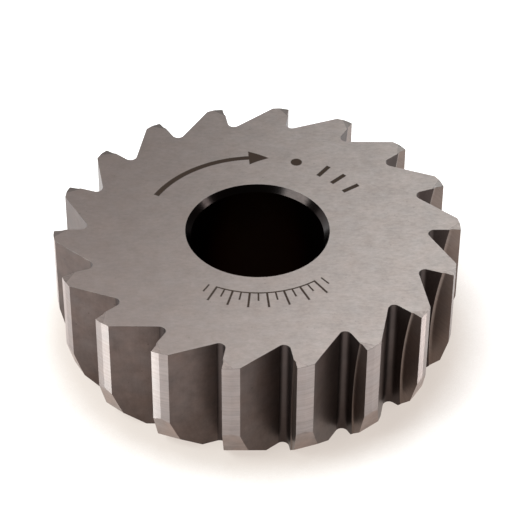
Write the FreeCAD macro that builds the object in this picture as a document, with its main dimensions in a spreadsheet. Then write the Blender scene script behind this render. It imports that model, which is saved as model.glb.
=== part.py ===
import FreeCAD, Part
import math
import os

import Sketcher

# A head reaming cutter: one ring of tool steel, turned, fluted, hardened and ground.
# It stands on its leading end. The origin is the centre of that end face, +Z runs up the
# bore to the marked face, and the first tooth's cutting edge lies in the XZ plane at +X.
# Seen from the marked face the cutting edges lead clockwise.

doc = FreeCAD.newDocument("reamer")

# Driving dimensions, in millimetres and degrees
SIZES = (
    ("reaming_diameter", 55.95, "across the cutting edges"),
    ("body_height", 17.85, "from the leading face to the marked face"),
    ("bore_diameter", 18.3, "plain bore for the pilot shaft"),
    ("bore_chamfer", 0.78, "45 degree chamfer at each mouth of the bore"),
    ("nose_chamfer", 1.85, "45 degree chamfer on the leading end of the blank"),
    ("nose_clearance", 9.5, "clearance behind the nose's edge on a tooth"),
    ("lead_inset", 1.0, "how far in the leading chamfer of a tooth comes"),
    ("lead_angle", 15.0, "leading chamfer, from the axis"),
    ("lead_clearance", 7.0, "clearance behind the leading chamfer's edge"),
    ("tooth_count", 18, "straight teeth, evenly spaced"),
    ("core_diameter", 46.9, "across the bottoms of the flutes"),
    ("flute_angle", 60.65, "between the two walls of a flute"),
    ("flute_corner", 0.88, "radius in the bottom of a flute"),
    ("face_stock", 0.15, "depth ground off the flute wall at the cutting face"),
    ("face_depth", 2.26, "flat of the cutting face, in from the edge at its deepest"),
    ("face_centre", 5.85, "height at which the cutting face is deepest"),
    ("wheel_diameter", 125.0, "grinding wheel that cut the cutting face"),
    ("wheel_corner", 0.8, "corner radius of that wheel"),
    ("margin_width", 1.15, "cylindrical margin behind a cutting edge"),
    ("margin_relief", 13.5, "flat behind the margin, from the tangent at the edge"),
    ("tip_setback", 1.7, "corner facet at a tooth's top, in along the cutting face"),
    ("tip_width", 1.6, "the same facet, back along the land"),
    ("tip_drop", 0.15, "how far that facet lowers the corner"),
    ("overrun", 1.5, "how far a cut runs past the metal, so that it leaves cleanly"),
)

sheet = doc.addObject("Spreadsheet::Sheet", "sizes")
for row, (alias, value, note) in enumerate(SIZES, start=1):
    sheet.set(f"A{row}", alias)
    sheet.set(f"B{row}", str(value))
    sheet.set(f"C{row}", note)
    sheet.setAlias(f"B{row}", alias)
doc.recompute()

# Places that several sketches share, as expressions on the sheet
RADIUS = "(sizes.reaming_diameter / 2)"
CLEAR = f"({RADIUS} + sizes.overrun)"
BORE = "(sizes.bore_diameter / 2)"
MOUTH = f"({BORE} + sizes.bore_chamfer)"
LEAD_FOOT = f"({RADIUS} - sizes.lead_inset)"
LEAD_SLOPE = "tan(sizes.lead_angle * 1 deg)"
LEAD_TOP = f"(sizes.nose_chamfer + sizes.lead_inset / {LEAD_SLOPE})"
HALF_PITCH = f"({RADIUS} * sin(180 deg / sizes.tooth_count))"

# The numbers by which a sketch knows the two ends of a line, and its own origin
START, END = range(1, 3)
ORIGIN = (-1, 1)


def worth(expression):
    """The number that an expression on the sheet comes to."""
    return float(sheet.evalExpression(expression))


def sketch_on(body, role, name):
    """An empty sketch that lies flat on one of the body's origin planes."""
    sketch = body.newObject("Sketcher::SketchObject", name)
    plane = next(item for item in body.Origin.OriginFeatures if item.Role == role)
    sketch.AttachmentSupport = [(plane, "")]
    sketch.MapMode = "FlatFace"
    return sketch


def bind(sketch, name, kind, elements, expression):
    """One dimension of a sketch, named and tied to the sheet."""
    index = sketch.addConstraint(Sketcher.Constraint(kind, *elements, worth(expression)))
    sketch.renameConstraint(index, name)
    sketch.setExpression(f"Constraints.{name}", expression)


def join(sketch, kind, *elements):
    """A constraint without a size, such as Coincident or Tangent."""
    sketch.addConstraint(Sketcher.Constraint(kind, *elements))


def outline(sketch, corners):
    """A closed chain of straight lines through corners, each with a name and two coordinates.

    A corner with a fourth entry is rounded to that radius: its lines stop where they touch
    the arc, and a construction point holds the place where they would have met.
    """
    count = len(corners)
    places = [FreeCAD.Vector(worth(corner[1]), worth(corner[2]), 0) for corner in corners]
    arrivals, departures = list(places), list(places)
    for i, corner in enumerate(corners):
        if len(corner) == 4:
            back = (places[i - 1] - places[i]).normalize()
            ahead = (places[(i + 1) % count] - places[i]).normalize()
            reach = worth(corner[3]) / math.tan(back.getAngle(ahead) / 2)
            arrivals[i] = places[i] + back * reach
            departures[i] = places[i] + ahead * reach
    lines = [sketch.addGeometry(Part.LineSegment(departures[i], arrivals[(i + 1) % count]), False)
             for i in range(count)]
    for i, (name, x, y, *rounding) in enumerate(corners):
        before, after = lines[i - 1], lines[i]
        if rounding:
            point = sketch.addGeometry(Part.Point(places[i]), True)
            join(sketch, "PointOnObject", point, START, before)
            join(sketch, "PointOnObject", point, START, after)
            corner_arc(sketch, name, before, after, places[i], rounding[0])
        else:
            point = after
            join(sketch, "Coincident", before, END, after, START)
        bind(sketch, f"{name}_across", "DistanceX", (*ORIGIN, point, START), x)
        bind(sketch, f"{name}_up", "DistanceY", (*ORIGIN, point, START), y)


def corner_arc(sketch, name, before, after, corner, radius):
    """The arc that rounds a corner between two lines and is tangent to both."""
    first = sketch.getPoint(before, END)
    last = sketch.getPoint(after, START)
    size = worth(radius)
    middle = (first + last) * 0.5
    half_angle = (first - corner).getAngle(middle - corner)
    inward = (middle - corner).normalize()
    crown = corner + inward * (size / math.sin(half_angle) - size)
    arc = sketch.addGeometry(Part.Arc(first, crown, last), False)
    near = START if sketch.getPoint(arc, START).distanceToPoint(first) < size / 100 else END
    join(sketch, "Tangent", before, END, arc, near)
    join(sketch, "Tangent", after, START, arc, START + END - near)
    bind(sketch, f"{name}_radius", "Radius", (arc,), radius)


def slanted_pocket(section, name, length, x, y):
    """A pocket whose upright section is swept back from the cutting face along (x, y, 0)."""
    pocket = body.newObject("PartDesign::Pocket", name)
    pocket.Profile = section
    pocket.Type = "Length"
    pocket.setExpression("Length", length)
    pocket.UseCustomVector = True
    pocket.Direction = FreeCAD.Vector(0, 1, 0)
    pocket.setExpression("Direction.x", x)
    pocket.setExpression("Direction.y", y)
    return pocket


def check_cut(tool):
    """Build a cutting feature and make sure that it took metal away."""
    before = tool.BaseFeature.Shape.Volume
    doc.recompute()
    if tool.Shape.isNull() or not tool.Shape.Volume < before:
        raise ValueError(f"{tool.Name} cuts nothing")
    print(f"{tool.Name} takes {before - tool.Shape.Volume:.2f} mm3")


body = doc.addObject("PartDesign::Body", "reamer_cutter")
body.Label = "reamer_cutter"

# The turned blank: half of its section, from the bore out to the reaming diameter
blank_section = sketch_on(body, "XZ_Plane", "blank_section")
outline(blank_section, (
    ("bore_low", BORE, "sizes.bore_chamfer"),
    ("bore_high", BORE, "sizes.body_height - sizes.bore_chamfer"),
    ("mouth_high", MOUTH, "sizes.body_height"),
    ("rim_high", RADIUS, "sizes.body_height"),
    ("lead_high", RADIUS, LEAD_TOP),
    ("lead_low", LEAD_FOOT, "sizes.nose_chamfer"),
    ("nose_low", f"{LEAD_FOOT} - sizes.nose_chamfer", "0"),
    ("mouth_low", MOUTH, "0")))
blank = body.newObject("PartDesign::Revolution", "blank")
blank.Profile = blank_section
blank.ReferenceAxis = (blank_section, ["V_Axis"])
blank.Angle = 360.0
doc.recompute()

# The flute in front of the first tooth, milled along the axis. One wall stands parallel to
# the cutting face, the other is the back of the next tooth, and an arc joins them so that
# its lowest point lies on the core diameter.
FLUTE_POINT = ("(sqrt((sizes.core_diameter / 2 + sizes.flute_corner) ^ 2"
               " - (sizes.face_stock + sizes.flute_corner) ^ 2)"
               " - sizes.flute_corner / tan(sizes.flute_angle * 0.5 deg))")
flute_section = sketch_on(body, "XY_Plane", "flute_section")
outline(flute_section, (
    ("point", FLUTE_POINT, "-sizes.face_stock", "sizes.flute_corner"),
    ("wall_out", CLEAR, "-sizes.face_stock"),
    ("back_out", CLEAR,
     f"-sizes.face_stock - ({CLEAR} - {FLUTE_POINT}) * tan(sizes.flute_angle * 1 deg)")))
flute = body.newObject("PartDesign::Pocket", "flute")
flute.Profile = flute_section
flute.Type = "ThroughAll"
flute.Midplane = True
check_cut(flute)

# The flat ground behind the cylindrical margin, over the rest of the tooth's land
MARGIN_EDGE = f"sqrt({RADIUS} ^ 2 - sizes.margin_width ^ 2)"
relief_section = sketch_on(body, "XY_Plane", "relief_section")
outline(relief_section, (
    ("margin", MARGIN_EDGE, "sizes.margin_width"),
    ("clear_low", CLEAR, "sizes.margin_width"),
    ("clear_high", CLEAR, HALF_PITCH),
    ("heel",
     f"{MARGIN_EDGE} - ({HALF_PITCH} - sizes.margin_width) * tan(sizes.margin_relief * 1 deg)",
     HALF_PITCH)))
relief = body.newObject("PartDesign::Pocket", "relief")
relief.Profile = relief_section
relief.Type = "ThroughAll"
relief.Midplane = True
check_cut(relief)

# The flat ground on the leading chamfer, which falls away behind its edge
lead_section = sketch_on(body, "XZ_Plane", "lead_section")
outline(lead_section, (
    ("foot", f"{LEAD_FOOT} - sizes.overrun * {LEAD_SLOPE}", "sizes.nose_chamfer - sizes.overrun"),
    ("outside", CLEAR, "sizes.nose_chamfer - sizes.overrun"),
    ("corner", CLEAR, f"{LEAD_TOP} + sizes.overrun"),
    ("head", f"{RADIUS} + sizes.overrun * {LEAD_SLOPE}", f"{LEAD_TOP} + sizes.overrun")))
lead = slanted_pocket(lead_section, "lead", HALF_PITCH,
                      "-sin(sizes.lead_clearance * 1 deg)", "cos(sizes.lead_clearance * 1 deg)")
check_cut(lead)

# The flat ground on the nose chamfer, which falls away faster
nose_section = sketch_on(body, "XZ_Plane", "nose_section")
outline(nose_section, (
    ("inside", f"{LEAD_FOOT} - sizes.nose_chamfer - sizes.overrun", "-sizes.overrun"),
    ("outside", f"{LEAD_FOOT} + sizes.overrun", "-sizes.overrun"),
    ("head", f"{LEAD_FOOT} + sizes.overrun", "sizes.nose_chamfer + sizes.overrun")))
nose = slanted_pocket(nose_section, "nose", f"{HALF_PITCH} + sizes.overrun",
                      "-sin(sizes.nose_clearance * 1 deg)", "cos(sizes.nose_clearance * 1 deg)")
check_cut(nose)

# The facet that breaks the corner between a tooth's top, its cutting face and its land. Its
# sweep starts at the flute wall, as far in front of the cutting face as the stock is deep.
TIP_SLOPE = "sizes.tip_drop / sizes.tip_setback"
TIP_RUN = "sqrt(sizes.tip_setback ^ 2 + sizes.tip_width ^ 2)"
TIP_START = f"({RADIUS} - sizes.tip_setback * (1 + sizes.face_stock / sizes.tip_width))"
tip_section = sketch_on(body, "XZ_Plane", "tip_section")
tip_section.setExpression("AttachmentOffset.Base.z", "sizes.face_stock")
outline(tip_section, (
    ("inside", f"{TIP_START} - sizes.overrun", f"sizes.body_height + sizes.overrun * {TIP_SLOPE}"),
    ("outside", CLEAR, f"sizes.body_height - ({CLEAR} - {TIP_START}) * {TIP_SLOPE}"),
    ("head", CLEAR, f"sizes.body_height + sizes.overrun * {TIP_SLOPE}")))
tip = slanted_pocket(tip_section, "tip", f"{TIP_RUN} + sizes.overrun",
                     f"sizes.tip_setback / {TIP_RUN}", f"sizes.tip_width / {TIP_RUN}")
check_cut(tip)

# The cutting face, ground on the tooth's radius by the corner of a large wheel
WHEEL_EDGE = f"({RADIUS} - sizes.face_depth - sizes.wheel_corner)"
face_section = sketch_on(body, "XY_Plane", "face_section")
face_section.setExpression("AttachmentOffset.Base.z", "sizes.face_centre")
outline(face_section, (
    ("corner", WHEEL_EDGE, "0", "sizes.wheel_corner"),
    ("side", WHEEL_EDGE, "-sizes.overrun"),
    ("back", CLEAR, "-sizes.overrun"),
    ("flat", CLEAR, "0")))
spindle_x = worth(f"{WHEEL_EDGE} + sizes.wheel_diameter / 2")
spindle = face_section.addGeometry(Part.LineSegment(
    FreeCAD.Vector(spindle_x, 0, 0), FreeCAD.Vector(spindle_x, worth("sizes.overrun"), 0)), True)
join(face_section, "Vertical", spindle)
join(face_section, "PointOnObject", spindle, START, -1)
bind(face_section, "spindle_across", "DistanceX", (*ORIGIN, spindle, START),
     f"{WHEEL_EDGE} + sizes.wheel_diameter / 2")
bind(face_section, "spindle_length", "DistanceY", (spindle, START, spindle, END), "sizes.overrun")
face = body.newObject("PartDesign::Groove", "face")
face.Profile = face_section
face.ReferenceAxis = (face_section, ["Axis0"])
face.Angle = 360.0
check_cut(face)

# The same cuts at every tooth
teeth = body.newObject("PartDesign::PolarPattern", "teeth")
teeth.Originals = [flute, relief, lead, nose, tip, face]
teeth.Axis = (next(item for item in body.Origin.OriginFeatures if item.Role == "Z_Axis"), [""])
teeth.Angle = 360.0
teeth.setExpression("Occurrences", "sizes.tooth_count")
body.Tip = teeth
doc.recompute()

# Nothing is written unless every object built and the piece is one sound solid
for item in doc.Objects:
    if "Invalid" in item.State or "Error" in item.State:
        raise ValueError(f"{item.Name} did not build")
for sketch in doc.findObjects("Sketcher::SketchObject"):
    if not sketch.FullyConstrained:
        raise ValueError(f"{sketch.Name} is not fully constrained")
if body.Shape.isNull() or not body.Shape.isValid() or len(body.Shape.Solids) != 1:
    raise ValueError("the cutter is not one sound solid")

os.makedirs("parts", exist_ok=True)
body.Shape.exportStep(f"parts/{body.Label}.step")
bounds = body.Shape.optimalBoundingBox()
print(f"{body.Label}: {body.Shape.Volume:.1f} mm3, {len(body.Shape.Faces)} faces, "
      f"{bounds.XLength:.3f} x {bounds.YLength:.3f} x {bounds.ZLength:.3f} mm")
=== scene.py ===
import math

import bmesh
import bpy
import numpy as np
from mathutils import Matrix


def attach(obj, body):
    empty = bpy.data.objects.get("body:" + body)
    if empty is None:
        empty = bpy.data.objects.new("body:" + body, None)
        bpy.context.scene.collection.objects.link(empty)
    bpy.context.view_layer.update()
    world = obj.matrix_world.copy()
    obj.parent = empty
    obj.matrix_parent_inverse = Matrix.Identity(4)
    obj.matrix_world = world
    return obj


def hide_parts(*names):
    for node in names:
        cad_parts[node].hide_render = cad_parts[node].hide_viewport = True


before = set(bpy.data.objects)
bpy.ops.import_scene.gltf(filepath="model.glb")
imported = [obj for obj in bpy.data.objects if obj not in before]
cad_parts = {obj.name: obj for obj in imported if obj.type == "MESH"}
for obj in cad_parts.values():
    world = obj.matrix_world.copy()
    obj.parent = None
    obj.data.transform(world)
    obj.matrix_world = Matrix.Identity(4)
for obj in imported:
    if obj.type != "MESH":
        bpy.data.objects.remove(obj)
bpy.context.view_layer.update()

MM = 0.001


# The view: a long lens 32 cm from the cutter, about 41 degrees above the bench, in line with the
# axis and a little tipped, so that the near teeth show their backs, flutes and leading edges.
aim = np.array((0.4446, 5.182, 7.865)) * MM
turn, rise, tilt = np.radians((-0.824, 40.775, -0.369))
back = np.array((math.sin(turn) * math.cos(rise), -math.cos(turn) * math.cos(rise), math.sin(rise)))
level = np.array((math.cos(turn), math.sin(turn), 0.0))
upright = np.cross(back, level)
right = math.cos(tilt) * level - math.sin(tilt) * upright
up = math.sin(tilt) * level + math.cos(tilt) * upright
eye = aim + back * 319.195 * MM
lens = bpy.data.cameras.new("camera")
lens.lens, lens.sensor_width, lens.sensor_fit = 155.64, 36.0, "HORIZONTAL"
camera = bpy.data.objects.new("camera", lens)
camera.matrix_world = Matrix([(right[i], up[i], back[i], eye[i]) for i in range(3)]
                             + [(0, 0, 0, 1)])
bpy.context.scene.collection.objects.link(camera)
bpy.context.scene.camera = camera
bpy.context.scene.view_settings.view_transform = "Standard"


# The bench: a wide sheet of white paper under the cutter, in full light. It shows as white itself
# and in the steel. Round the foot of the teeth a soft warm shadow is painted on it: its glow and
# its grey darken where the cutter closes off the sky over it.
def node(tree, kind, inputs=None, **fields):
    """Add one node with its fields: an input that is a socket is linked, any other is a value."""
    made = tree.nodes.new(kind)
    for name, value in fields.items():
        setattr(made, name, value)
    for name, value in (inputs or {}).items():
        if isinstance(value, bpy.types.NodeSocket):
            tree.links.new(value, made.inputs[name])
        else:
            made.inputs[name].default_value = value
    return made


def calc(tree, operation, first, second=0.0, third=0.0, **fields):
    """One step of arithmetic on sockets or numbers."""
    return node(tree, "ShaderNodeMath", {0: first, 1: second, 2: third},
                operation=operation, **fields).outputs[0]


def blend(tree, factor, first, second, mode="MIX"):
    """Two colours, each a socket or three numbers, mixed by the factor."""
    first, second = (c if isinstance(c, bpy.types.NodeSocket) else (*c, 1) for c in (first, second))
    return node(tree, "ShaderNodeMix", {"Factor": factor, 6: first, 7: second},
                data_type="RGBA", blend_type=mode).outputs[2]


def bare_material(name):
    """A new material with nothing in it but its output."""
    made = bpy.data.materials.new(name)
    made.use_nodes = True
    made.node_tree.nodes.clear()
    return made, made.node_tree, made.node_tree.nodes.new("ShaderNodeOutputMaterial")


SHADOW_REACH = 60                    # mm round a point in which the cutter shades it
SHADED, CLEAR = 0.516, 0.997         # how open the paper lies at the cutter's foot, and far off
# the glow and the grey of the painted shadow at the cutter's foot, and of the open paper
PAINTED_SHADOW_GLOW, PAPER_GLOW = (0.640, 0.575, 0.525), (1.235, 1.235, 1.235)
PAINTED_SHADOW_GREY, PAPER_GREY = (0.0996, 0.0922, 0.0872), (0.20, 0.20, 0.20)

paper, tree, out = bare_material("white_paper")
ray = node(tree, "ShaderNodeLightPath")
seen = calc(tree, "MAXIMUM", ray.outputs["Is Camera Ray"], ray.outputs["Is Glossy Ray"])
seen = calc(tree, "MAXIMUM", seen, ray.outputs["Is Transmission Ray"])
plain = node(tree, "ShaderNodeBsdfDiffuse", {"Color": (0.80, 0.80, 0.80, 1)})
# painted shadow: the ambient occlusion at each point of the paper mixes its glow and grey from the
# open paper's to the foot's
near = node(tree, "ShaderNodeAmbientOcclusion", {"Distance": SHADOW_REACH * MM}, samples=16)
openness = {"Value": near.outputs["AO"], "From Min": SHADED, "From Max": CLEAR}
clear = node(tree, "ShaderNodeMapRange", openness, interpolation_type="SMOOTHSTEP").outputs[0]
glow = node(tree, "ShaderNodeEmission", {"Color": blend(tree, clear, PAINTED_SHADOW_GLOW, PAPER_GLOW),
                                         "Strength": 1.0})
shade = node(tree, "ShaderNodeBsdfDiffuse", {"Color": blend(tree, clear, PAINTED_SHADOW_GREY, PAPER_GREY)})
bright = node(tree, "ShaderNodeAddShader", {0: shade.outputs[0], 1: glow.outputs[0]})
mixed = node(tree, "ShaderNodeMixShader", {0: seen, 1: plain.outputs[0], 2: bright.outputs[0]})
tree.links.new(mixed.outputs[0], out.inputs["Surface"])

side = np.array((-2.0, 2.0))         # m: far wider than the picture
sheet_x, sheet_y = np.meshgrid(side, side)
sheet_points = np.stack([sheet_x, sheet_y, np.zeros_like(sheet_x)], axis=-1).reshape(-1, 3)
sheet_mesh = bpy.data.meshes.new("bench_paper")
sheet_mesh.from_pydata(sheet_points.tolist(), [], [(0, 1, 3, 2)])
sheet_mesh.materials.append(paper)
bench = bpy.data.objects.new("bench_paper", sheet_mesh)
bpy.context.scene.collection.objects.link(bench)


# The light: three soft boxes on the left, three above the back, a low one at the front right, and
# a tall narrow strip on each side for the teeth's lands. The studio's walls are dim and a bit warm.
WARM, COOL, NEUTRAL = (1.08, 0.97, 0.93), (0.93, 1.03, 1.04), (1, 1, 1)
WALL_LIGHT = 0.179
LAMPS = (
    # name, bearing from +X in degrees, distance from the axis, height, the height on the axis that
    # it faces, width and height of its window, all in mm, power in watts, colour
    ("left_back_low", 145, 420, 110, 10, 220, 220, 0.447, NEUTRAL),
    ("left_back_box", 145, 300, 300, 10, 220, 220, 0.797, WARM),
    ("left_front_box", -161, 300, 300, 10, 220, 220, 3.88, COOL),
    ("left_strip", -146, 420, 130, 20, 100, 250, 0.842, COOL),
    ("right_strip", 0, 420, 150, 20, 70, 280, 1.241, NEUTRAL),
    ("back_box", 76, 320, 320, 10, 150, 180, 0.141, COOL),
    ("back_right_box", 52, 320, 320, 10, 150, 180, 0.313, COOL),
    ("low_right_box", -45, 450, 125, 10, 320, 180, 0.18, NEUTRAL),
    ("top_box", 85, 160, 420, 10, 260, 200, 0.549, NEUTRAL),
)
for name, bearing, distance, height, faced, width, tall, power, colour in LAMPS:
    lamp = bpy.data.lights.new(name, "AREA")
    lamp.shape, lamp.size, lamp.size_y = "RECTANGLE", width * MM, tall * MM
    lamp.energy, lamp.color = power, colour
    way = math.radians(bearing)
    spot = np.array((distance * math.cos(way), distance * math.sin(way), height))
    away = spot - np.array((0.0, 0.0, faced))
    away /= np.linalg.norm(away)
    across = np.cross((0.0, 0.0, 1.0), away)
    across /= np.linalg.norm(across)
    rising = np.cross(away, across)
    stand = bpy.data.objects.new(name, lamp)
    stand.matrix_world = Matrix([(across[i], rising[i], away[i], spot[i] * MM) for i in range(3)]
                                + [(0, 0, 0, 1)])
    bpy.context.scene.collection.objects.link(stand)

studio = bpy.data.worlds.new("studio")
studio.use_nodes = True
bpy.context.scene.world = studio
tree = studio.node_tree
tree.nodes.clear()
walls = node(tree, "ShaderNodeBackground", {"Color": (*WARM, 1), "Strength": WALL_LIGHT})
white = node(tree, "ShaderNodeBackground", {"Color": (1, 1, 1, 1), "Strength": 1.0})
ray = node(tree, "ShaderNodeLightPath")
mixed = node(tree, "ShaderNodeMixShader", {0: ray.outputs["Is Camera Ray"], 1: walls.outputs[0],
                                           2: white.outputs[0]})
node(tree, "ShaderNodeOutputWorld", {"Surface": mixed.outputs[0]})


# The cutter: one piece of hardened tool steel, turned and bored, with eighteen straight teeth cut
# in its rim. Every face is ground. Its skin is one closed sheet of columns, run up the rim, over
# the top, down the bore and back under the foot, and folded exactly at each ground edge.
EDGE = 27.975                        # radius of the cutting edges
TALL = 17.85                         # from the foot to the marked end
TEETH = 18
PITCH = math.radians(360 / TEETH)
LEAD_EDGE = EDGE - 1.0               # where the lead starts, above the nose
NOSE_TOP = 1.85                      # height of the 45 degree nose
LEAD = math.tan(math.radians(15.0))
LEAD_FALL, NOSE_FALL = math.tan(math.radians(7.0)), math.tan(math.radians(9.5))
MARGIN = 1.15                        # width of the round land behind the edge
MARGIN_EDGE = math.sqrt(EDGE ** 2 - MARGIN ** 2)
RELIEF = math.tan(math.radians(13.5))
WALL = -0.15                         # the flute's wall stands this far in front of the cutting face
GULLET, GULLET_RADIUS = (24.308, -1.03), 0.88          # the round bottom of the flute
GULLET_FOOT = 209.35                 # where on that arc the back of the next tooth starts, degrees
BACK_START, BACK_FALL = (22.8036, WALL), math.tan(math.radians(60.65))
# the grinding wheel: its spindle's distance and height, its radius and its corner's
WHEEL, WHEEL_HEIGHT, WHEEL_RADIUS, WHEEL_CORNER = 87.415, 5.85, 61.7, 0.8
# the tip facet: where it starts on the cutting face, its slant in plan and its fall
TIP_EDGE, TIP_SLANT, TIP_SLOPE = 26.275, 1.7 / 1.6, 0.15 / 1.7
BORE, BORE_CHAMFER = 9.15, 0.78
CORE = 22.4                          # a circle inside the gullets, where the top's columns end
RIM_WEAR = 0.015                     # the rubbed rim of the top
NOSE_STEPS = (0.0, 0.205, 0.449, 0.72)                 # heights of the rows on the nose, as shares
LEAD_ROWS, BODY_ROWS, BORE_ROWS = 3, 9, 6
BODY_ROW = len(NOSE_STEPS) + LEAD_ROWS                 # the first row above the lead
INWARD = 0.3                         # how far in towards the core the next row of an end lies
WELD, SLIVER = 2e-6, 1e-6            # m: points this close are one, and edges this short go
FOLD = 6.5                           # degrees: a sharper bend than this is a ground edge


def turned(x, y, angle):
    """A point turned about the axis: the usual rotation of x and y by the angle."""
    return x * math.cos(angle) - y * math.sin(angle), x * math.sin(angle) + y * math.cos(angle)


def edge_reach(z):
    """How far out the cutting edge is at a height: the least of the body, the lead and the nose."""
    return np.minimum(EDGE, np.minimum(LEAD_EDGE + (z - NOSE_TOP) * LEAD, LEAD_EDGE - NOSE_TOP + z))


def tooth_cap(x, y, z):
    """A point of the tooth's side, drawn in along x on to the lead's or the nose's ground plane."""
    lead = LEAD_EDGE + (z - NOSE_TOP) * LEAD - y * LEAD_FALL
    nose = LEAD_EDGE - NOSE_TOP + z - y * NOSE_FALL
    return np.minimum(x, np.minimum(lead, nose))


def land_reach(y):
    """The land's x at a distance behind the edge: a circle on the margin, then a straight line."""
    return np.where(y <= MARGIN, np.sqrt(EDGE ** 2 - np.minimum(y, MARGIN) ** 2),
                    MARGIN_EDGE - (y - MARGIN) * RELIEF)


def wheel_cut(depth, z):
    """Where the grinding wheel's rounded rim, an arc about its spindle, crosses a height."""
    return WHEEL - np.sqrt((WHEEL_RADIUS + depth) ** 2 - (z - WHEEL_HEIGHT) ** 2)


back_foot = (GULLET[0] + GULLET_RADIUS * math.cos(math.radians(GULLET_FOOT)),
             GULLET[1] + GULLET_RADIUS * math.sin(math.radians(GULLET_FOOT)))
back_near = turned(*BACK_START, PITCH)
back_far = turned(BACK_START[0] + 5.0, BACK_START[1] - 5.0 * BACK_FALL, PITCH)
back_way = np.array(back_far) - np.array(back_near)


def heel(reach, slope):
    """Where the line x = reach - slope * y, on the land, meets the back wall of the next flute."""
    # back_near + t * back_way lies on it when x + slope * y = reach
    t = (reach - back_near[0] - slope * back_near[1]) / (back_way[0] + slope * back_way[1])
    return back_near[1] + t * back_way[1]


def heel_depth(z):
    """How far back the land reaches at a height: the most of the body, the lead and the nose."""
    body = heel(MARGIN_EDGE + MARGIN * RELIEF, RELIEF)
    lead = heel(LEAD_EDGE + (z - NOSE_TOP) * LEAD, LEAD_FALL)
    nose = heel(LEAD_EDGE - NOSE_TOP + z, NOSE_FALL)
    return np.maximum(body, np.maximum(lead, nose))


body_heel = heel(MARGIN_EDGE + MARGIN * RELIEF, RELIEF)
tip_heel = (MARGIN_EDGE + MARGIN * RELIEF - TIP_EDGE) / (TIP_SLANT + RELIEF)
tip_share = (tip_heel - MARGIN) / (body_heel - MARGIN)
wall_share = (TIP_EDGE + WALL * TIP_SLANT - GULLET[0]) / (wheel_cut(WHEEL_CORNER * math.sin(
    math.acos(1 + WALL / WHEEL_CORNER)), TALL) - GULLET[0])

# each column of one tooth: the surface it is on, and its share of the way across it
SURFACES = ("gullet", "wall", "ramp", "face", "margin", "relief", "back")
shares = (np.arange(24) / 24, np.array((0, 0.3, 0.6, wall_share)), np.arange(8) / 8,
          np.arange(7) / 7, np.arange(5) / 5, np.array((0, tip_share, 0.45, 0.65, 0.83)),
          np.arange(5) / 5)
surface = np.concatenate([np.full(len(s), i) for i, s in enumerate(shares)])
share = np.concatenate(shares)
COLUMNS = len(share)


def on_part(name):
    """The columns that lie on one of the tooth's surfaces."""
    return surface == SURFACES.index(name)


def rim_section(z):
    """One tooth's outline at the height of each column, in its own frame, edge on the x axis.

    z holds one height for each column. The gullet is an arc, the wall and the cutting face are
    straight, the ramp between them is the wheel's rounded corner, the margin is part of the reamed
    circle, the relief is straight, and the back wall runs straight down to the next gullet.
    """
    x, y = np.empty_like(z), np.empty_like(z)
    corner = math.acos(1 + WALL / WHEEL_CORNER)
    start = wheel_cut(WHEEL_CORNER * math.sin(corner), z)
    for i, name in enumerate(SURFACES):
        on = surface == i
        s, h = share[on], z[on]
        if name == "gullet":
            angle = np.radians(GULLET_FOOT + (90.0 - GULLET_FOOT) * s)
            x[on] = GULLET[0] + GULLET_RADIUS * np.cos(angle)
            y[on] = GULLET[1] + GULLET_RADIUS * np.sin(angle)
        elif name == "wall":
            stop = tooth_cap(start[on], np.full_like(h, WALL), h)
            x[on], y[on] = GULLET[0] + (stop - GULLET[0]) * s, WALL
        elif name == "ramp":
            angle = corner * (1 - s)
            y[on] = WHEEL_CORNER * (np.cos(angle) - 1)
            x[on] = tooth_cap(wheel_cut(WHEEL_CORNER * np.sin(angle), h), y[on], h)
        elif name == "face":
            stop = edge_reach(h)
            first = np.minimum(wheel_cut(0.0, h), stop)
            x[on], y[on] = first + (stop - first) * s, 0.0
        elif name in ("margin", "relief"):
            end = heel_depth(h)
            y[on] = MARGIN * s if name == "margin" else MARGIN + (end - MARGIN) * s
            x[on] = tooth_cap(land_reach(y[on]), y[on], h)
        else:
            end = heel_depth(h)
            t = (end - back_near[1]) / back_way[1]
            foot = turned(*back_foot, PITCH)
            x[on] = (back_near[0] + t * back_way[0]) * (1 - s) + foot[0] * s
            y[on] = end * (1 - s) + foot[1] * s
    return x, y


def fold_heights():
    """For each column the height of the nose's crease, of the lead's crease and of the top."""
    behind = np.zeros(COLUMNS)
    on = on_part("margin")
    behind[on] = MARGIN * share[on]
    on = on_part("relief")
    behind[on] = MARGIN + (body_heel - MARGIN) * share[on]
    on = on_part("back")
    behind[on] = body_heel * (1 - share[on])
    nose = NOSE_TOP + behind * (NOSE_FALL - LEAD_FALL) / (1 - LEAD)
    lead = NOSE_TOP + (land_reach(behind) - LEAD_EDGE + behind * LEAD_FALL) / LEAD
    x, y = rim_section(np.full(COLUMNS, TALL))
    top = TALL - TIP_SLOPE * np.maximum(0.0, x - y * TIP_SLANT - TIP_EDGE)
    return nose, lead, top


nose_fold, lead_fold, top_fold = fold_heights()
heights = [nose_fold * f for f in NOSE_STEPS]
heights += [nose_fold + (lead_fold - nose_fold) * f for f in np.arange(LEAD_ROWS) / LEAD_ROWS]
heights += [lead_fold + (top_fold - RIM_WEAR - lead_fold) * f
            for f in np.arange(BODY_ROWS) / (BODY_ROWS - 1)]
rows = [rim_section(z) + (z,) for z in heights]


def inset(x, y, depth):
    """A closed outline moved inwards: each point along the mean of its two sides' normals."""
    ahead = np.stack([np.roll(x, -1) - x, np.roll(y, -1) - y])
    ahead /= np.maximum(np.hypot(*ahead), 1e-9)
    behind = np.roll(ahead, 1, axis=1)
    normal = np.stack([-(ahead[1] + behind[1]), ahead[0] + behind[0]])
    normal /= np.maximum(1 + (ahead * behind).sum(0), 0.4)
    return x + normal[0] * depth, y + normal[1] * depth


# all eighteen teeth: each row is one height's outline, turned by one pitch at a time
tooth = np.repeat(np.arange(TEETH), COLUMNS)
swing = tooth * PITCH


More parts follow.
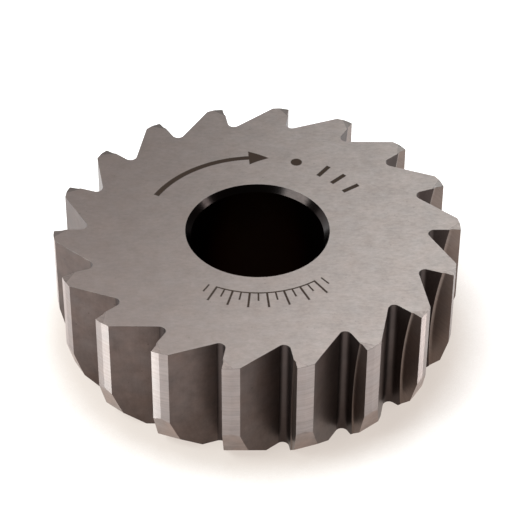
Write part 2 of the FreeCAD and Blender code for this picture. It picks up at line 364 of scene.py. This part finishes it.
def all_round(x, y):
    """One tooth's section repeated round the axis."""
    x, y = np.tile(x, TEETH), np.tile(y, TEETH)
    return x * np.cos(swing) - y * np.sin(swing), x * np.sin(swing) + y * np.cos(swing)


skin = []
for x, y, z in rows:
    skin.append(np.stack([*all_round(x, y), np.tile(z, TEETH)], axis=1))
rim_rows = len(skin)
x, y, z = skin[-1].T
top_x, top_y = inset(x, y, RIM_WEAR)

# where each column of the top meets the core circle: the angle grows steadily from column to
# column, and each surface of the tooth has its own range of it, in degrees
FAN = (-6, -0.6, 0.6, 1.2, 3, 4.6, 6, 14)
fan = np.empty(COLUMNS)
for i, (first, last) in enumerate(zip(FAN, FAN[1:])):
    on = surface == i
    fan[on] = first + (last - first) * share[on]
angle = np.tile(np.radians(fan), TEETH) + swing


def ring(radius, height):
    """A circle of columns about the axis."""
    return np.stack([radius * np.cos(angle), radius * np.sin(angle),
                     np.full(len(angle), height)], axis=1)


local_x = top_x * np.cos(swing) + top_y * np.sin(swing)
local_y = top_y * np.cos(swing) - top_x * np.sin(swing)
out_by = local_x - local_y * TIP_SLANT - TIP_EDGE
core = ring(CORE, TALL)
core_out = (core[:, 0] * np.cos(swing) + core[:, 1] * np.sin(swing)
            - (core[:, 1] * np.cos(swing) - core[:, 0] * np.sin(swing)) * TIP_SLANT - TIP_EDGE)
on_tip = (out_by > 0) & ~np.tile(on_part("gullet") | on_part("back"), TEETH)
top_rim = np.stack([top_x, top_y, TALL - TIP_SLOPE * np.where(on_tip, out_by, 0.0)], axis=1)

# the two columns at which the facet's upper edge meets the rim, on the wall and on the relief
wall_end = on_part("wall") & (share == wall_share)
relief_end = on_part("relief") & (share == tip_share)
tip_end = np.tile(wall_end | relief_end, TEETH)
on_tip &= ~tip_end
step = np.where(on_tip, out_by / (out_by - core_out), np.where(tip_end, 0.0, INWARD))[:, None]
crease = top_rim * (1 - step) + core * step
crease[:, 2] = TALL
MOUTH = BORE + BORE_CHAMFER
HALFWAY = (CORE + MOUTH) / 2
skin += [top_rim, crease, core, ring(HALFWAY, TALL), ring(MOUTH, TALL)]
top_rows = len(skin)
skin += [ring(BORE, h) for h in np.linspace(TALL - BORE_CHAMFER, BORE_CHAMFER, BORE_ROWS)]
bore_rows = len(skin)
foot_core = ring(CORE, 0.0)
skin += [ring(MOUTH, 0.0), ring(HALFWAY, 0.0), foot_core,
         skin[0] * (1 - INWARD) + foot_core * INWARD]
skin = np.array(skin)
ROWS, ROUND = skin.shape[:2]

# the sheet's faces: each joins two rows and two columns, and both directions close on themselves
row, column = np.meshgrid(np.arange(ROWS), np.arange(ROUND), indexing="ij")
below, left = row * ROUND, column
above, beside = (row + 1) % ROWS * ROUND, (column + 1) % ROUND
faces = np.stack([below + left, below + beside, above + beside, above + left], axis=-1)
faces = faces.reshape(-1, 4)

# one ground finish for each kind of surface
LAND, FLUTE, FACE, END, CHAMFER, HOLE, LEADS, TIP, RIM, GROOVE = range(10)
kinds = np.tile(np.array([GROOVE, GROOVE, FACE, FACE, LAND, LAND, FLUTE])[surface], TEETH)
kind = np.empty((ROWS, ROUND), int)
kind[:rim_rows - 1] = kinds
kind[:BODY_ROW][:, kinds == LAND] = LEADS
kind[rim_rows - 1] = RIM
kind[rim_rows:top_rows - 1] = END
kind[rim_rows, on_tip | np.roll(on_tip, -1)] = TIP
kind[top_rows - 1] = CHAMFER
kind[top_rows:bore_rows - 1] = HOLE
kind[bore_rows - 1] = CHAMFER
kind[bore_rows:] = END

# run across and height up the rim, in mm, for the patterns that follow the ground surfaces
waist = skin[BODY_ROW + 3]
line = np.linalg.norm(np.diff(np.concatenate([waist, waist[:1]])[:, :2], axis=0), axis=1)
run = np.concatenate([[0.0], np.cumsum(line)])
climb = skin[:, :, 2]
u = np.stack([run[column], run[column + 1], run[column + 1], run[column]], axis=-1)
v = np.stack([climb[row, left], climb[row, beside], climb[(row + 1) % ROWS, beside],
              climb[(row + 1) % ROWS, left]], axis=-1)

mesh = bpy.data.meshes.new("reamer_cutter_ground")
mesh.from_pydata((skin.reshape(-1, 3) * MM).tolist(), [], faces.tolist())
mesh.polygons.foreach_set("material_index", kind.ravel())
unrolled = mesh.uv_layers.new(name="unrolled")
unrolled.data.foreach_set("uv", np.stack([u, v], axis=-1).ravel().astype(np.float32))
shape = bmesh.new()
shape.from_mesh(mesh)
bmesh.ops.remove_doubles(shape, verts=shape.verts, dist=WELD)
bmesh.ops.dissolve_degenerate(shape, edges=shape.edges, dist=SLIVER)
bmesh.ops.recalc_face_normals(shape, faces=shape.faces)
shape.to_mesh(mesh)
shape.free()
mesh.polygons.foreach_set("use_smooth", np.ones(len(mesh.polygons), bool))
mesh.set_sharp_from_angle(angle=math.radians(FOLD))
cutter = bpy.data.objects.new("reamer_cutter_ground", mesh)
bpy.context.scene.collection.objects.link(cutter)
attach(cutter, "root")
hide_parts("reamer_cutter")


# The finish: plain steel, ground with a fine wheel. Grinding lines run over every surface, and slow
# clouds of lighter and darker metal, a drift of warmer and cooler colour and a few dark specks lie
# over them. The two groups here hold those patterns, and take a place in mm.
def group(name, inputs, outputs):
    """A node group with named inputs, each with its first value, and named outputs."""
    made = bpy.data.node_groups.new(name, "ShaderNodeTree")
    for label, value in inputs.items():
        kind_of = "NodeSocketVector" if isinstance(value, tuple) else "NodeSocketFloat"
        made.interface.new_socket(label, in_out="INPUT", socket_type=kind_of).default_value = value
    for label in outputs:
        made.interface.new_socket(label, in_out="OUTPUT", socket_type="NodeSocketFloat")
    return made, made.nodes.new("NodeGroupInput"), made.nodes.new("NodeGroupOutput")


lines, given, made = group("ground_lines", {"Place": (0.0, 0.0, 0.0), "Length": 0.05, "Fine": 6.0},
                           ("Line",))
spread = node(lines, "ShaderNodeCombineXYZ", {0: given.outputs["Length"], 1: 1.0, 2: 1.0})
stretched = node(lines, "ShaderNodeVectorMath", {0: given.outputs["Place"], 1: spread.outputs[0]},
                 operation="MULTIPLY")
noise = node(lines, "ShaderNodeTexNoise", {
    "Vector": stretched.outputs[0], "Scale": given.outputs["Fine"],
    "Detail": 3.0, "Roughness": 0.72})
lines.links.new(noise.outputs[0], made.inputs["Line"])

CLOUD_SCALE = 0.35                   # clouds to the mm
SPECK_SCALE, SPECK_SIZE = 1.1, 0.16  # cells to the mm, and the largest speck as a share of its cell
SPECK_RARITY = 0.72                  # share of the cells that stay without a speck
film, given, made = group("dried_film", {"Place": (0.0, 0.0, 0.0)}, ("Cloud", "Hue", "Speck"))
cloud = node(film, "ShaderNodeTexNoise", {
    "Vector": given.outputs["Place"], "Scale": CLOUD_SCALE, "Detail": 4.0, "Roughness": 0.75})
film.links.new(cloud.outputs[0], made.inputs["Cloud"])
aside = node(film, "ShaderNodeVectorMath", {0: given.outputs["Place"], 1: (17.0, 9.0, 5.0)},
             operation="ADD")
drift = node(film, "ShaderNodeTexNoise", {
    "Vector": aside.outputs[0], "Scale": CLOUD_SCALE, "Detail": 1.5, "Roughness": 0.6})
film.links.new(drift.outputs[0], made.inputs["Hue"])
dots = node(film, "ShaderNodeTexVoronoi", {
    "Vector": given.outputs["Place"], "Scale": SPECK_SCALE, "Randomness": 1.0})
few = node(film, "ShaderNodeSeparateColor", {0: dots.outputs["Color"]})
size = node(film, "ShaderNodeMapRange", {
    "Value": few.outputs[0], "From Min": SPECK_RARITY, "From Max": 1.0,
    "To Min": 0.0, "To Max": SPECK_SIZE})
speck = calc(film, "LESS_THAN", dots.outputs["Distance"], size.outputs[0])
film.links.new(speck, made.inputs["Speck"])


# The marks: burnt into the upper end with a laser, dark brown and a little dull. They are plain
# ones: an arrow for the way it turns, a dot, three bars, and a short scale of fine strokes.
MARK_RING, SCALE_RING = 15.95, 13.1  # radius of the middle of the arrow, and of the scale's foot
ARROW_HALF, ARROW_TAIL, ARROW_NECK, ARROW_TIP = 0.42, 152.0, 93.5, 83.5
ARROW_FLARE = 0.145                  # mm that the head widens in each degree from its tip
DOT_BEARING, DOT_RADIUS = 69.2, 0.82
BAR_BEARING, BAR_PITCH, BAR_HALF, BAR_REACH = 44.0, 9.6, 0.34, 1.35
SCALE_ENDS, SCALE_PITCH = (-122.0, -48.0), 10.0
LONG_BEARING, LONG_HALF, LONG_REACH = -85.0, 0.16, 2.9
SHORT_BEARING, SHORT_HALF, SHORT_REACH = -80.0, 0.13, 1.6
marks, given, made = group("burnt_marks", {"Place": (0.0, 0.0, 0.0)}, ("Mark",))
at = node(marks, "ShaderNodeSeparateXYZ", {0: given.outputs["Place"]})
x_at, y_at = at.outputs["X"], at.outputs["Y"]


def mark(operation, first, second=0.0):
    """One step of arithmetic in the marks' group."""
    return calc(marks, operation, first, second)


def least(*terms):
    """The smallest of several terms: how far inside all of a mark's sides a point is."""
    found = terms[0]
    for term in terms[1:]:
        found = mark("MINIMUM", found, term)
    return found


radius = mark("SQRT", mark("ADD", mark("MULTIPLY", x_at, x_at), mark("MULTIPLY", y_at, y_at)))
bearing = mark("MULTIPLY", mark("ARCTAN2", y_at, x_at), 180 / math.pi)
off_ring = mark("ABSOLUTE", mark("SUBTRACT", radius, MARK_RING))
DEGREE = math.radians(MARK_RING)     # mm along the ring in one degree


def within(low, high):
    """How far inside a range of bearings a point is, in mm."""
    return mark("MULTIPLY", DEGREE, mark("MINIMUM", mark("SUBTRACT", bearing, low),
                                         mark("SUBTRACT", high, bearing)))


def stroke(middle, pitch, half_width):
    """Radial strokes, one at every pitch: how far inside the nearest one a point is, in mm."""
    off = calc(marks, "WRAP", mark("SUBTRACT", bearing, middle), pitch / 2, -pitch / 2)
    across = mark("MULTIPLY", radius, mark("SINE", mark("MULTIPLY", off, math.pi / 180)))
    return mark("SUBTRACT", half_width, mark("ABSOLUTE", across))


def tick(middle, half_width, reach):
    """The scale's strokes: from its foot out to their reach, between the scale's ends."""
    return least(stroke(middle, SCALE_PITCH, half_width), mark("SUBTRACT", radius, SCALE_RING),
                 mark("SUBTRACT", SCALE_RING + reach, radius), within(*SCALE_ENDS))


shaft = least(mark("SUBTRACT", ARROW_HALF, off_ring), within(ARROW_NECK, ARROW_TAIL))
flare = mark("MULTIPLY", mark("SUBTRACT", bearing, ARROW_TIP), ARROW_FLARE)
head = least(mark("SUBTRACT", flare, off_ring), within(80.0, ARROW_NECK + 0.5))
dot_x = MARK_RING * math.cos(math.radians(DOT_BEARING))
dot_y = MARK_RING * math.sin(math.radians(DOT_BEARING))
from_dot = mark("SQRT", mark("ADD", mark("POWER", mark("SUBTRACT", x_at, dot_x), 2.0),
                             mark("POWER", mark("SUBTRACT", y_at, dot_y), 2.0)))
dot = mark("SUBTRACT", DOT_RADIUS, from_dot)
bars = least(stroke(BAR_BEARING, BAR_PITCH, BAR_HALF), mark("SUBTRACT", BAR_REACH, off_ring),
             within(30.5, 57.5))
fine = tick(LONG_BEARING, LONG_HALF, LONG_REACH)
short = tick(SHORT_BEARING, SHORT_HALF, SHORT_REACH)
off_foot = mark("ABSOLUTE", mark("SUBTRACT", radius, SCALE_RING))
foot_line = least(mark("SUBTRACT", SHORT_HALF, off_foot), within(-115.6, -54.4))
inside = shaft
for shape_of in (head, dot, bars, fine, short, foot_line):
    inside = mark("MAXIMUM", inside, shape_of)
# the burn's edge is a little ragged and soft
ragged = node(marks, "ShaderNodeTexNoise", {"Vector": given.outputs["Place"],
                                            "Scale": 6.0, "Detail": 2.0})
inside = mark("ADD", inside, mark("MULTIPLY", mark("SUBTRACT", ragged.outputs[0], 0.5), 0.10))
burnt = node(marks, "ShaderNodeMapRange", {"Value": inside, "From Min": -0.05, "From Max": 0.07},
             interpolation_type="SMOOTHSTEP")
marks.links.new(burnt.outputs[0], made.inputs["Mark"])


# The ten finishes: lands, leads and cutting faces are bright, the flutes are dark, and their
# bottoms are darker still with painted shade; the ends are ground flat with short lines; the
# chamfers and the bore are turned, and their near-black colour is painted shade.
BURNT, BURNT_DULL = (0.033, 0.023, 0.018), 0.25
LINE_DEPTH, LINE_BUMP = 0.004, 0.15  # mm, and how much of it shows
END_GAIN, END_SPAN = (0.55, 1.25), 20           # the end's lines grow stronger from -20 to 20 mm


def steel(name, colour, polish, direction=0, flat=False, length=0.05, fine=6.0, grain=0.4,
          cloud=0.4, hue=0.3, speck=0.0, lay=0.0, marked=False, edge=(1, 1, 1)):
    """Ground steel: its colour goes lighter and darker along the grinding lines and in slow clouds.

    direction turns the lines in degrees, flat says that they lie on the cutter's end rather than on
    its unrolled rim, length and fine are the group's, polish is the least and greatest roughness,
    and lay is how far the gloss spreads across the lines. marked adds the burnt marks, and edge is
    the colour at a grazing angle. The tone is 0.5 + gain * grain * (line - 0.5) + cloud *
    (film - 0.5), where the gain is 1 off the marked end, and the colour goes from 0.6 to 1.4 times
    its own as the tone goes from 0 to 1.
    """
    made, tree, out = bare_material(name)
    where = node(tree, "ShaderNodeTexCoord")
    source = where.outputs["Object"] if flat else where.outputs["UV"]
    size = 1 / MM if flat else 1.0
    place = node(tree, "ShaderNodeMapping", {"Vector": source, "Scale": (size, size, size),
                                             "Rotation": (0, 0, math.radians(direction))})
    ground = node(tree, "ShaderNodeGroup", node_tree=lines)
    tree.links.new(place.outputs[0], ground.inputs["Place"])
    ground.inputs["Length"].default_value = length
    ground.inputs["Fine"].default_value = fine
    solid = node(tree, "ShaderNodeMapping", {"Vector": where.outputs["Object"],
                                             "Scale": (1 / MM,) * 3})
    dirt = node(tree, "ShaderNodeGroup", node_tree=film)
    tree.links.new(solid.outputs[0], dirt.inputs["Place"])

    rise = calc(tree, "MULTIPLY", calc(tree, "SUBTRACT", ground.outputs["Line"], 0.5), grain)
    if marked:
        sideways = node(tree, "ShaderNodeSeparateXYZ", {0: where.outputs["Object"]})
        gain = node(tree, "ShaderNodeMapRange", {
            "Value": sideways.outputs["X"], "From Min": -END_SPAN * MM, "From Max": END_SPAN * MM,
            "To Min": END_GAIN[0], "To Max": END_GAIN[1]})
        rise = calc(tree, "MULTIPLY", rise, gain.outputs[0])
    tone = calc(tree, "MULTIPLY_ADD", dirt.outputs["Cloud"], cloud, 0.5 - 0.5 * cloud)
    tone = calc(tree, "ADD", rise, tone, use_clamp=True)

    metal = blend(tree, tone, [0.6 * c for c in colour], [1.4 * c for c in colour])
    tint = blend(tree, dirt.outputs["Hue"], (1 - 0.2 * hue, 1 + 0.05 * hue, 1 + 0.2 * hue),
                 (1 + 0.2 * hue, 1 - 0.05 * hue, 1 - 0.2 * hue))
    tinted = blend(tree, 1.0, metal, tint, mode="MULTIPLY")
    shown = calc(tree, "MULTIPLY", dirt.outputs["Speck"], speck)
    tinted = blend(tree, shown, tinted, [0.4 * c for c in colour])
    rough = node(tree, "ShaderNodeMapRange", {"Value": tone, "To Min": polish[1],
                                              "To Max": polish[0]}).outputs[0]
    if marked:
        burn = node(tree, "ShaderNodeGroup", node_tree=marks)
        tree.links.new(solid.outputs[0], burn.inputs["Place"])
        tinted = blend(tree, burn.outputs["Mark"], tinted, BURNT)
        rough = calc(tree, "MULTIPLY_ADD", burn.outputs["Mark"], BURNT_DULL, rough)
    bump = node(tree, "ShaderNodeBump", {"Height": ground.outputs["Line"], "Strength": LINE_BUMP,
                                         "Distance": LINE_DEPTH * MM})
    shader = node(tree, "ShaderNodeBsdfPrincipled", {
        "Base Color": tinted, "Metallic": 1.0, "Roughness": rough, "Specular Tint": (*edge, 1),
        "Normal": bump.outputs[0]})
    if lay:
        shader.inputs["Anisotropic"].default_value = lay
        shader.inputs["Anisotropic Rotation"].default_value = 0.25
        along = node(tree, "ShaderNodeTangent", direction_type="RADIAL", axis="Z")
        tree.links.new(along.outputs[0], shader.inputs["Tangent"])
    tree.links.new(shader.outputs[0], out.inputs["Surface"])
    return made


finishes = {
    LAND: steel("ground_land", (0.3045, 0.2566, 0.2411), (0.32, 0.37), length=0.02, fine=3.0,
                grain=0.8, cloud=0.4, hue=0.2, lay=0.97),
    FLUTE: steel("flute_wall", (0.1020, 0.0762, 0.0680), (0.36, 0.44), direction=90, length=0.06,
                 fine=2.0, grain=0.25, cloud=1.1, hue=0.35, speck=0.5),
    FACE: steel("cutting_face", (0.165, 0.127, 0.111), (0.30, 0.42), direction=35, length=0.05,
                fine=4.0, grain=0.7, cloud=0.5),
    END: steel("ground_end", (0.286, 0.2425, 0.2263), (0.30, 0.36), flat=True, length=0.45,
               fine=2.5, grain=0.6, cloud=0.6, hue=0.15, speck=0.25, marked=True),
    # the chamfers and the bore: near black, a painted shade of the dark inside of the bore; the
    # chamfers' glints come from the lamps
    CHAMFER: steel("turned_chamfer_painted_shade", (0.0082, 0.0064, 0.0060), (0.14, 0.22), grain=1.0),
    HOLE: steel("bore_wall_painted_shade", (0.0045, 0.0025, 0.0017), (0.30, 0.45), edge=(0.42, 0.32, 0.27)),
    LEADS: steel("ground_lead", (0.269, 0.212, 0.190), (0.35, 0.42), length=0.03, fine=2.0,
                 grain=0.4, cloud=1.1, hue=0.5, lay=0.75),
    TIP: steel("honed_tip", (0.195, 0.168, 0.157), (0.38, 0.44), direction=35, flat=True,
               length=0.3, fine=3.0, grain=1.2, cloud=0.8, hue=0.2, speck=0.8),
    RIM: steel("rubbed_rim", (0.05, 0.043, 0.039), (0.34, 0.42), flat=True, length=0.8, fine=2.5,
               grain=3.0),
    # the gullets and the short walls at the bottom of each flute: the flute's own dark steel, made
    # darker still by painted shade deep in the flute
    GROOVE: steel("ground_groove_painted_shade", (0.0560, 0.0425, 0.0390), (0.36, 0.44), direction=90,
                  length=0.06, fine=2.0, grain=0.3, cloud=0.8, hue=0.2),
}
for surface_kind in sorted(finishes):
    mesh.materials.append(finishes[surface_kind])
